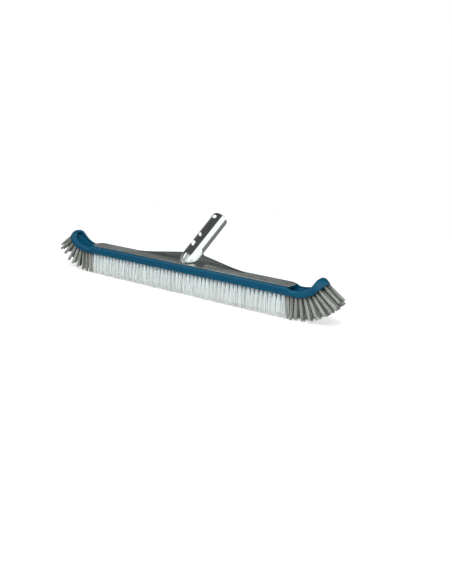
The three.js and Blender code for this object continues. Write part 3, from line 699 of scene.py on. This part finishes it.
def white_row(rng, row):
    """The strands of one lengthwise row; each tuft opens out towards its tips."""
    count = WHITE_COUNT
    reach_x, reach_y = 5.0, 3.4 + 0.5 * (abs(row) == 2)  # the outer rows open out further
    roots, tips, widths, bows, shades = [], [], [], [], []
    y = row * ROW_PITCH
    for i in range(-WHITE_STEPS, WHITE_STEPS + 1):
        x = i * WHITE_PITCH
        if row == 0 and min(abs(place - x) for place in SCREWS) < SCREW_CLEARANCE:
            continue
        spots = disc(rng, count)
        lean = rng.normal(0, 0.3, 2)
        uneven = abs(rng.normal(0, 0.5))
        roots.append(np.column_stack([
            x + BUNDLE_RADIUS * spots[:, 0],
            y + BUNDLE_RADIUS * spots[:, 1],
            np.full(count, WHITE_SUNK),
        ]))
        tips.append(np.column_stack([
            x + lean[0] + reach_x * spots[:, 0] + rng.normal(0, 0.45, count),
            y + 0.5 * lean[1] + reach_y * spots[:, 1] + rng.normal(0, 0.35, count),
            TIPS + uneven + np.abs(rng.normal(0, 0.3, count)),
        ]))
        swell = np.column_stack([0.5 * spots[:, 0], 0.2 * spots[:, 1], np.zeros(count)])
        bows.append(swell + rng.normal(0, 0.18, (count, 3)) * [1, 1, 0])
        widths.append(rng.uniform(0.25, 0.31, count))
        shades.append(np.full(count, rng.random()))
    return [np.concatenate(a) for a in (roots, tips, widths, bows, shades)]


def on_underside(run):
    """Place and slope of the underside, a run along it from the middle."""
    turn = min(max(run - BEND_START, 0) / BEND_RADIUS, BEND_ANGLE)
    past = run - BEND_START - BEND_RADIUS * BEND_ANGLE
    if run <= BEND_START:
        return np.array([run, 0.0]), 0.0
    if past > 0:
        return tip_corner(past, 0), turn
    return np.array([BEND_START + BEND_RADIUS * math.sin(turn),
                     BEND_RADIUS * (1 - math.cos(turn))]), turn


def grey_column(rng, side, step):
    """The strands of one crosswise column, which leans out with the curl of the head; side is
    -1 at the left end and 1 at the right."""
    count = GREY_COUNT
    shorter = 4.0 * (side > 0 and step == GREY_COLUMNS - 1)  # the last column on the right
    first = WHITE_STEPS * WHITE_PITCH + (WHITE_PITCH + GREY_PITCH) / 2
    run = first + step * GREY_PITCH
    root, turn = on_underside(run)
    past = max(0.0, run - BEND_START - BEND_RADIUS * BEND_ANGLE - PAD_CENTRE) / TIP_ROUND
    room = HALF_WIDTH * math.sqrt(max(0, 1 - past ** 2)) - TUFT_ROOT / 2 - TUFT_GAP
    steps = min(2, int(room // (TUFT_ROOT + TUFT_GAP)))
    pitch = min(ROW_PITCH, room / max(steps, 1))
    lean = turn * GREY_SPLAY
    down = np.array([math.sin(lean), -math.cos(lean)])
    flat = np.array([math.cos(lean), math.sin(lean)])
    inward = np.array([-math.sin(turn), math.cos(turn)])
    start = root + GREY_SUNK * inward
    roots, tips, widths, bows, shades = [], [], [], [], []
    for row in range(-steps, steps + 1):
        spots = disc(rng, count)
        fan = 1.6 + 0.8 * rng.random()  # how far the tips open out
        length = TRIM + rng.normal(0, 0.35, count)
        length = length - (rng.random(count) < 0.06) * rng.uniform(0, 3, count)  # a few broken
        shift = rng.normal(0, 0.8, 2)
        length = length - abs(rng.normal(0, 1.0)) - shorter
        swing = shift[0] + fan * spots[:, 0] + rng.normal(0, 0.35, count)
        foot = start[None] + np.outer(BUNDLE_RADIUS * spots[:, 0], flat)
        end = start[None] + np.outer(swing, flat) + np.outer(length, down)
        foot_y = row * pitch + BUNDLE_RADIUS * spots[:, 1]
        end_y = row * pitch * 1.05 + 0.4 * shift[1] + fan * spots[:, 1]
        end_y = end_y + rng.normal(0, 0.3, count)
        roots.append(np.column_stack([side * foot[:, 0], foot_y, foot[:, 1]]))
        tips.append(np.column_stack([side * end[:, 0], end_y, np.maximum(end[:, 1], TIPS)]))
        bows.append(rng.normal(0, 0.3, (count, 3)) * [1, 1, 0.4])
        widths.append(rng.uniform(0.32, 0.42, count))
        # The inner rows' darker tone is painted shade between the tufts.
        shade = (0.55, 1.0) if abs(row) == steps else (0.0, 0.25)  # the inner rows are darker
        shades.append(np.full(count, rng.uniform(*shade)))
    return [np.concatenate(a) for a in (roots, tips, widths, bows, shades)]


def tuft_piece(name, rng, shape, paint, slot):
    points, faces, extra = strands(rng, *shape)
    made = piece(name + "_strands", to_frame(points), faces, None, extra)
    paint.on(made)
    return shows(made, "root", slot, name)


# ---------- the pieces ----------
blue, metal, nylon, steel = blue_plastic(), aluminium(), clip_nylon(), stainless()
# The darker roots are painted shade under the head; the white's bluish root is also painted light
# thrown back by the blue moulding.
white = filament("white_filament", (0.80, 0.90, 0.93), (0.95, 0.98, 0.98), (0.97, 0.99, 0.98),
                 spread=0.05, roughness=0.42, metallic=0.0, glow=0.6)
grey = filament("grey_filament", (0.15, 0.16, 0.15), (0.44, 0.46, 0.43), (0.54, 0.56, 0.52),
                spread=0.9, roughness=0.26, metallic=0.3, glow=0.0)

# Steps of the grids. The odd corners keep most grid lines off flat faces.
FINE, SMALL = ((0.8, 0.4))
SCREW_STEP = 0.35
head = shaped("head_moulding", head_distance(), (-HEAD_HALF - 2.1, -18.7, -2.1),
              (HEAD_HALF + 2.1, 18.7, 36.3), FINE)
blue.on(shows(head, "root", "blue_plastic", "brush_head"))
casting = shaped("back_casting", casting_distance, (-213.1, -15.1, 8.3), (213.1, 103.3, 86.3),
                 FINE, attribute=("polish", polish_of))
metal.on(shows(casting, "root", "polished_aluminium", "handle_casting"))

for name, flip in (("clip_leg_upper", 1), ("clip_leg_lower", -1)):
    leg = shaped(name + "_nylon", leg_distance(), (3.1, -2.1, -6.1), (91.7, 18.1, 6.1), SMALL,
                 clip_place(flip))
    nylon.on(shows(leg, name, "clip_nylon", name))
bow = shaped("clip_bow_nylon", bow_distance, (-6.1, -6.1, -6.1), (6.1, 6.1, 6.1), SMALL,
             clip_place(1))
nylon.on(shows(bow, "root", "clip_nylon", "clip_bow"))
for i, x in enumerate(SCREWS):
    screw = shaped(f"screw_{i + 1}_steel", screw_distance, (-5, -5, -0.5), (5, 5, 13.5), SCREW_STEP,
                   lambda points, x=x: to_frame(points + [x, 0, 0]))
    steel.on(shows(screw, "root", "stainless_screw", f"screw_{i + 1}"))

rng = np.random.default_rng(24)
for i, row in enumerate((-2, -1, 0, 1, 2)):
    tuft_piece(f"white_row_{i + 1}", rng, white_row(rng, row), white, "white_nylon")
for label, side in (("left", -1), ("right", 1)):
    for step in range(GREY_COLUMNS):
        tuft_piece(f"grey_{label}_{step + 1:02d}", rng, grey_column(rng, side, step), grey,
                   "grey_nylon")

# ---------- floor, light and camera, in metres ----------
AMBIENT = 0.6  # even light that the world gives to rough surfaces
WHITE = (1, 1, 1, 1)
scene = bpy.context.scene
scene.view_settings.view_transform = "Standard"


def floor():
    """A pale disc just under the tufts, which fades out around the object."""
    radius, sides, height = 2.6, 96, -0.0004
    turns = np.linspace(0, 2 * math.pi, sides, False)
    ring = [(radius * math.cos(a), radius * math.sin(a), height) for a in turns]
    points = np.array([(0, 0, height)] + ring)
    faces = np.array([(0, i + 1, (i + 1) % sides + 1) for i in range(sides)])
    made = piece("studio_floor", points, faces)
    p = Paint("studio_floor", Roughness=0.9, **{"Specular IOR Level": 0.1})
    tone = p.mix(p.noise(3, 3), (0.62, 0.62, 0.62, 1), (0.64, 0.64, 0.64, 1))
    p.feed(Base_Color=tone, Emission_Color=WHITE, Emission_Strength=0.45,
           Normal=p.bump(p.noise(500, 2), 0.03, 0.0002))
    far = p.node("VectorMath", {0: p.where}, out=1, operation="LENGTH")
    p.blend_with(p.node("BsdfTransparent"), p.span(far, 0.36, 0.8, 0, 1))
    p.on(made)
    made.visible_glossy = False  # or the polished tube would mirror a bright floor


def studio_world():
    """White to the camera, even light on rough surfaces; to a mirror, bright at the right only."""
    world = bpy.data.worlds.new("studio")
    scene.world = world
    world.use_nodes = True
    tree = world.node_tree
    tree.nodes.clear()

    def add(kind, inputs=(), **settings):
        made = tree.nodes.new("ShaderNode" + kind)
        for key, value in settings.items():
            setattr(made, key, value)
        for socket, value in zip(made.inputs, inputs):
            plug(tree, value, socket)
        return made

    def step(value, low, high, to_low=0.0, to_high=1.0):
        made = add("MapRange", (value, low, high, to_low, to_high), interpolation_type="SMOOTHSTEP")
        return made.outputs[0]

    def calc(operation, a, b):
        return add("Math", (a, b), operation=operation).outputs[0]

    split = add("SeparateXYZ", (add("TexCoord").outputs["Generated"],))
    x, y, z = split.outputs
    # What a mirror sees: a bright wall at the right, a softer one in front and a strip high at
    # the left of it.
    right = step(x, 0.54, 0.62, 0.0, 1.15)
    forward = calc("MULTIPLY", y, -1.0)
    front = calc("MULTIPLY", step(forward, 0.1, 0.45), step(x, -0.2, 0.4, 0.25, 0.7))
    high_left = calc("MULTIPLY", step(forward, 0.05, 0.2), step(z, 0.45, 0.6))
    strip = calc("MULTIPLY", step(x, -0.2, -0.4, 0.0, 1.2), step(x, -0.72, -0.6))
    strip = calc("MULTIPLY", high_left, strip)
    front = calc("MAXIMUM", front, strip)
    lit = calc("MAXIMUM", right, front)
    # Elsewhere it is dim, less so near the horizon. Under the horizon it darkens to the left.
    dim = calc("ADD", 0.075, step(z, 0.55, 0.25, 0.0, 0.2))
    above = calc("ADD", lit, calc("MULTIPLY", calc("SUBTRACT", 1.0, lit), dim))
    is_above = step(z, -0.02, 0.02)
    under = step(x, -0.3, 0.1, 0.06, 0.2)
    level = calc("ADD", calc("MULTIPLY", above, is_above),
                 calc("MULTIPLY", calc("SUBTRACT", 1.0, is_above), under))
    studio = add("Background", ((0.93, 1.0, 0.985, 1), level)).outputs[0]
    # The camera and rough surfaces see plain white instead, the latter weaker.
    path = add("LightPath")
    seen, diffuse = path.outputs["Is Camera Ray"], path.outputs["Is Diffuse Ray"]
    strength = calc("ADD", seen, calc("MULTIPLY", diffuse, AMBIENT))
    plain = add("Background", (WHITE, strength)).outputs[0]
    mixed = add("MixShader", (calc("MAXIMUM", seen, diffuse), studio, plain)).outputs[0]
    add("OutputWorld", (mixed,))


def area_light(name, position, target, size, power):
    """A white lamp that rough surfaces see and mirrors do not."""
    data = bpy.data.lights.new(name, "AREA")
    data.shape, data.size, data.size_y = "RECTANGLE", *size
    data.energy = power
    light = bpy.data.objects.new(name, data)
    scene.collection.objects.link(light)
    light.visible_glossy = False
    light.location = position
    aim = Vector(target) - Vector(position)
    light.rotation_euler = aim.to_track_quat("-Z", "Y").to_euler()


def camera():
    """The photograph's own view, as fitted to it."""
    position, target = Vector((0.7632, -0.9254, 0.3617)), Vector((0.06059, 0.0319, 0.00434))
    roll = math.radians(0.879)
    data = bpy.data.cameras.new("camera")
    data.lens, data.sensor_width = 45.99, 36.0
    made = bpy.data.objects.new("camera", data)
    scene.collection.objects.link(made)
    back = (position - target).normalized()
    right = Vector((0, 0, 1)).cross(back).normalized()
    up = back.cross(right)
    across = right * math.cos(roll) + up * math.sin(roll)
    top = up * math.cos(roll) - right * math.sin(roll)
    made.matrix_world = Matrix((
        (across.x, top.x, back.x, position.x), (across.y, top.y, back.y, position.y),
        (across.z, top.z, back.z, position.z), (0, 0, 0, 1)))
    data.clip_start, data.clip_end = 0.01, 50
    scene.camera = made


floor()
studio_world()
area_light("key", (0.4, -1.0, 1.75), (0, 0, 0.05), (1.4, 1.4), 36)
area_light("front", (1.1, -1.3, 0.4), (0, 0, 0.03), (1.0, 0.7), 8)
camera()

bpy.context.view_layer.update()
